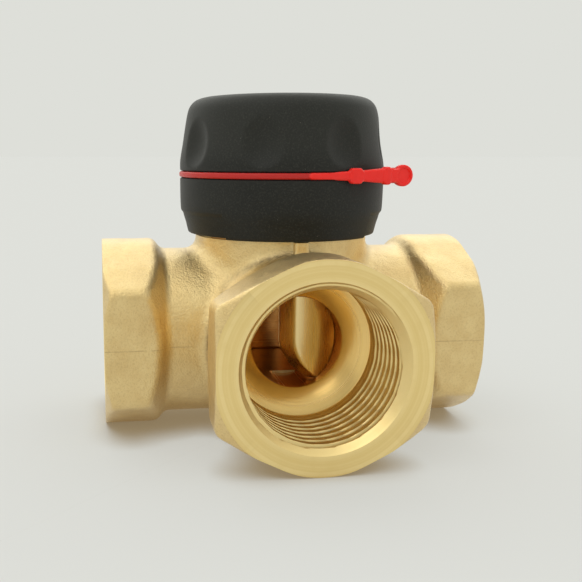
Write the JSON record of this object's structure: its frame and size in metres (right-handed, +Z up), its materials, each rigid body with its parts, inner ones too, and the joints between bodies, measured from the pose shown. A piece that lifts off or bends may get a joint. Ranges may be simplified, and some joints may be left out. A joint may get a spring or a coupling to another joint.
{
  "type": "rotary mixing valve",
  "caption": "Brass three-port rotary mixing valve with female threaded hexagon ports, a brass slide, and a black soft-touch hand knob with a red pointer ring.",
  "frame": {"origin": "centre of the round foot boss under the chamber, on the spindle axis and level with the lowest arcs of the ports", "axes": "+Z up the spindle, -Y out of the front port, +X out of the right port"},
  "size_m": [0.082, 0.0641, 0.0733],
  "materials": {
    "cast_brass": "satin cast, machined ports",
    "turned_brass": "turned",
    "black_composite": "moulded glass-filled composite",
    "soft_black": "soft touch",
    "rubber_seal": "smooth",
    "white_plastic": "turned PTFE",
    "steel": "zinc plated",
    "red_plastic": "gloss",
    "dial_grey": "satin"
  },
  "bodies": {
    "valve": {"valve_body": "cast_brass", "bonnet_bushing": "black_composite", "bushing_o_ring": "rubber_seal", "retaining_ring": "steel", "dust_seal": "rubber_seal", "stop_pin": "steel", "knob_base": "soft_black", "base_screws": "steel"},
    "drive": {"rotor_slide": "turned_brass", "spindle": "black_composite", "spindle_o_ring_lower": "rubber_seal", "spindle_o_ring_upper": "rubber_seal", "thrust_washer": "white_plastic", "spindle_clip": "steel", "knob_core": "black_composite", "knob_grip": "soft_black", "knob_screw": "steel", "screw_washer": "steel", "scale_plate": "dial_grey", "centre_cap": "red_plastic"},
    "pointer": {"pointer_ring": "red_plastic"}
  },
  "joints": [
    {"name": "knob_turn", "type": "hinge", "parent": "valve", "child": "drive", "pos_m": [0, 0, 0.05605], "axis": [0, 0, 1], "range_deg": [-45, 45]},
    {"name": "pointer_set", "type": "hinge", "parent": "drive", "child": "pointer", "pos_m": [0, 0, 0.0563], "axis": [0, 0, 1], "continuous": true}
  ]
}
